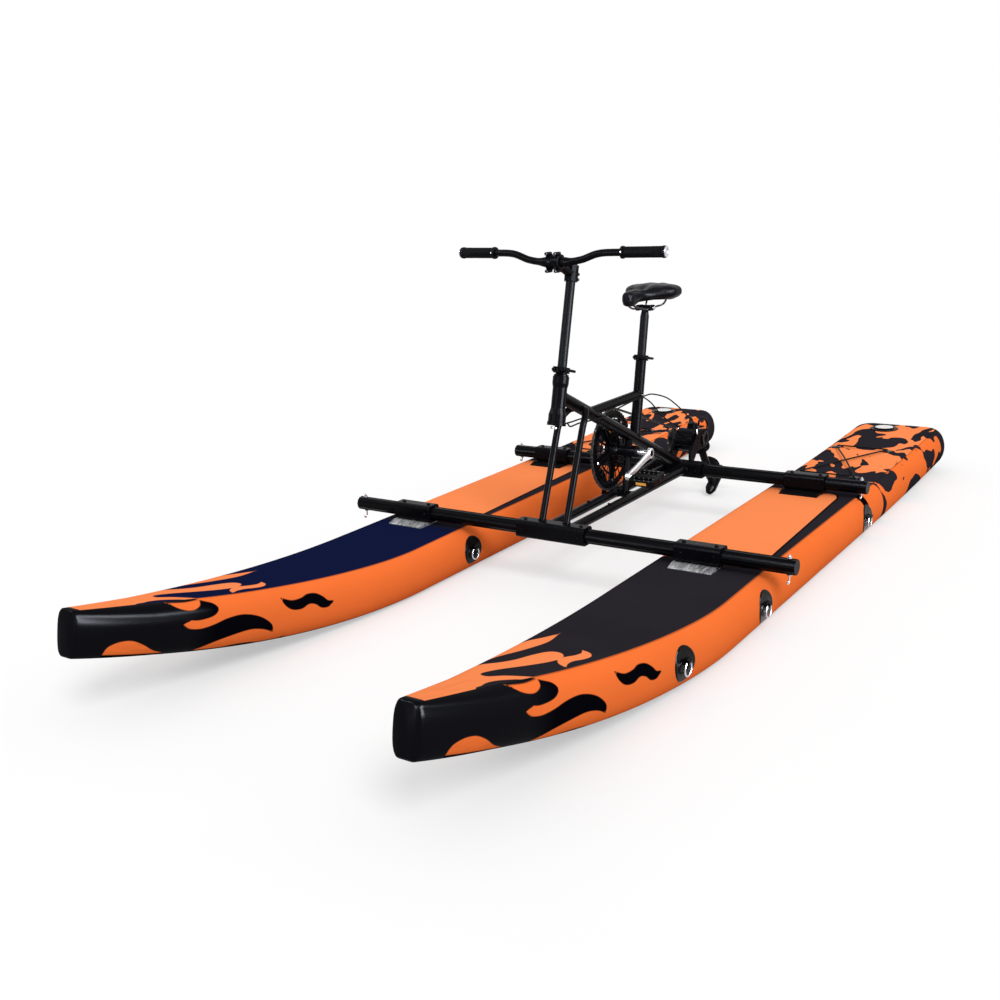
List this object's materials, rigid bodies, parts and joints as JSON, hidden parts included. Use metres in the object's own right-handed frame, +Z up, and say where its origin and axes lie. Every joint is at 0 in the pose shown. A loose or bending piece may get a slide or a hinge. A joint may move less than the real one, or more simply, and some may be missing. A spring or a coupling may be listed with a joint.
{
  "type": "pontoon water bike",
  "caption": "Pedal-driven water bike: two inflatable pontoons under cross beams, a bicycle frame with saddle and handlebar, and a steerable kick-up propeller leg.",
  "frame": {"origin": "on the ground under the middle of the hulls", "axes": "+X forward to the noses, +Y port, +Z up"},
  "size_m": [3.502, 1.6, 1.0756],
  "materials": {
    "drop_stitch_fabric": "satin coated fabric with printed graphics",
    "saddle_cover": "satin",
    "grip_rubber": "matte",
    "pedal_plastic": "matte",
    "bare_alloy": "polished",
    "bare_steel": "polished",
    "chain_steel": "dark",
    "cord_rubber": "matte",
    "black_plastic": "matte",
    "pad_plastic": "gloss",
    "black_paint": "black anodised and painted"
  },
  "bodies": {
    "raft": {"port_hull": "drop_stitch_fabric", "starboard_hull": "drop_stitch_fabric", "port_valve_cap": "black_plastic", "starboard_valve_cap": "black_plastic", "port_deck_lacing": "cord_rubber", "starboard_deck_lacing": "cord_rubber", "front_cross_beam": "black_paint", "front_centre_sleeve": "black_paint", "front_port_beam_clamp": "black_paint", "front_port_deck_pad": "pad_plastic", "front_port_strap_hook": "bare_steel", "front_starboard_beam_clamp": "black_paint", "front_starboard_deck_pad": "pad_plastic", "front_starboard_strap_hook": "bare_steel", "rear_cross_beam": "black_paint", "rear_centre_sleeve": "black_paint", "rear_port_beam_clamp": "black_paint", "rear_port_deck_pad": "pad_plastic", "rear_port_strap_hook": "bare_steel", "rear_starboard_beam_clamp": "black_paint", "rear_starboard_deck_pad": "pad_plastic", "rear_starboard_strap_hook": "bare_steel", "head_tube": "black_paint", "main_tube": "black_paint", "top_tube": "black_paint", "seat_tube": "black_paint", "port_front_strut": "black_paint", "starboard_front_strut": "black_paint", "lower_frame": "black_paint", "seat_collar": "black_paint", "drive_chain": "chain_steel", "tilt_bracket": "black_paint", "port_steering_cable": "cord_rubber", "starboard_steering_cable": "cord_rubber"},
    "steering_column": {"steerer_and_drum": "black_paint", "stem_collar": "black_paint"},
    "stem_quick_release": {"stem_lever": "black_paint"},
    "handlebar_assembly": {"handlebar_riser": "black_paint", "stem_head": "black_paint", "handlebar": "black_paint", "port_grip": "grip_rubber", "starboard_grip": "grip_rubber"},
    "seat_assembly": {"seat_post": "black_paint", "saddle_rails": "bare_steel", "saddle": "saddle_cover"},
    "seat_quick_release": {"seat_lever": "black_paint"},
    "crankset": {"port_crank_arm": "bare_alloy", "starboard_crank_arm": "bare_alloy", "chainring": "black_paint"},
    "port_pedal_body": {"port_pedal": "pedal_plastic"},
    "starboard_pedal_body": {"starboard_pedal": "pedal_plastic"},
    "sprocket": {"drive_sprocket": "bare_steel"},
    "drive_unit": {"drive_housing": "black_paint"},
    "leg": {"drive_leg": "black_paint"},
    "screw": {"propeller": "black_plastic"},
    "port_outer_ring": {"port_outer_tow_ring": "bare_steel"},
    "port_inner_ring": {"port_inner_tow_ring": "bare_steel"},
    "starboard_outer_ring": {"starboard_outer_tow_ring": "bare_steel"},
    "starboard_inner_ring": {"starboard_inner_tow_ring": "bare_steel"}
  },
  "joints": [
    {"name": "steer", "type": "hinge", "parent": "raft", "child": "steering_column", "pos_m": [0.275, 0, 0.5386], "axis": [-0.2504, 0, 0.9681], "range_deg": [-45, 45]},
    {"name": "stem_height", "type": "slide", "parent": "steering_column", "child": "handlebar_assembly", "axis": [-0.2504, 0, 0.9681], "range_m": [-0.06, 0.05]},
    {"name": "stem_clamp_lever", "type": "hinge", "parent": "steering_column", "child": "stem_quick_release", "pos_m": [0.26664, 0, 0.70273], "axis": [0, 1, 0], "range_deg": [0, 120]},
    {"name": "seat_height", "type": "slide", "parent": "raft", "child": "seat_assembly", "axis": [-0.1994, 0, 0.9799], "range_m": [-0.1, 0.05]},
    {"name": "seat_clamp_lever", "type": "hinge", "parent": "raft", "child": "seat_quick_release", "pos_m": [-0.27848, 0, 0.66091], "axis": [0, 1, 0], "range_deg": [0, 120]},
    {"name": "crank_spin", "type": "hinge", "parent": "raft", "child": "crankset", "pos_m": [-0.204, 0, 0.3406], "axis": [0, 1, 0], "continuous": true},
    {"name": "port_pedal_spin", "type": "hinge", "parent": "crankset", "child": "port_pedal_body", "pos_m": [-0.04018, 0.146, 0.29517], "axis": [0, 1, 0], "continuous": true},
    {"name": "starboard_pedal_spin", "type": "hinge", "parent": "crankset", "child": "starboard_pedal_body", "pos_m": [-0.36782, -0.146, 0.38603], "axis": [0, 1, 0], "continuous": true},
    {"name": "sprocket_spin", "type": "hinge", "parent": "raft", "child": "sprocket", "pos_m": [-0.696, 0, 0.2786], "axis": [0, 1, 0], "continuous": true},
    {"name": "leg_tilt", "type": "hinge", "parent": "raft", "child": "drive_unit", "pos_m": [-0.696, 0, 0.2786], "axis": [0, 1, 0], "range_deg": [-33.4, 50]},
    {"name": "leg_steer", "type": "hinge", "parent": "drive_unit", "child": "leg", "pos_m": [-0.784, 0, 0.2786], "axis": [0.5505, 0, 0.8348], "range_deg": [-45, 45]},
    {"name": "propeller_spin", "type": "hinge", "parent": "leg", "child": "screw", "pos_m": [-0.94034, 0, 0.0415], "axis": [-0.8348, 0, 0.5505], "continuous": true},
    {"name": "port_outer_ring_swing", "type": "hinge", "parent": "raft", "child": "port_outer_ring", "pos_m": [0.86, 0.71745, 0.09792], "axis": [1, 0, 0], "range_deg": [0, 85]},
    {"name": "port_inner_ring_swing", "type": "hinge", "parent": "raft", "child": "port_inner_ring", "pos_m": [0.303, 0.31943, 0.0845], "axis": [-1, 0, 0], "range_deg": [0, 85]},
    {"name": "starboard_outer_ring_swing", "type": "hinge", "parent": "raft", "child": "starboard_outer_ring", "pos_m": [0.86, -0.71745, 0.09792], "axis": [-1, 0, 0], "range_deg": [0, 85]},
    {"name": "starboard_inner_ring_swing", "type": "hinge", "parent": "raft", "child": "starboard_inner_ring", "pos_m": [0.303, -0.31943, 0.0845], "axis": [1, 0, 0], "range_deg": [0, 85]}
  ],
  "couplings": [
    {"joint": "sprocket_spin", "follows": "crank_spin", "ratio": 3.7143},
    {"joint": "propeller_spin", "follows": "crank_spin", "ratio": 8},
    {"joint": "leg_steer", "follows": "steer", "ratio": -1}
  ]
}
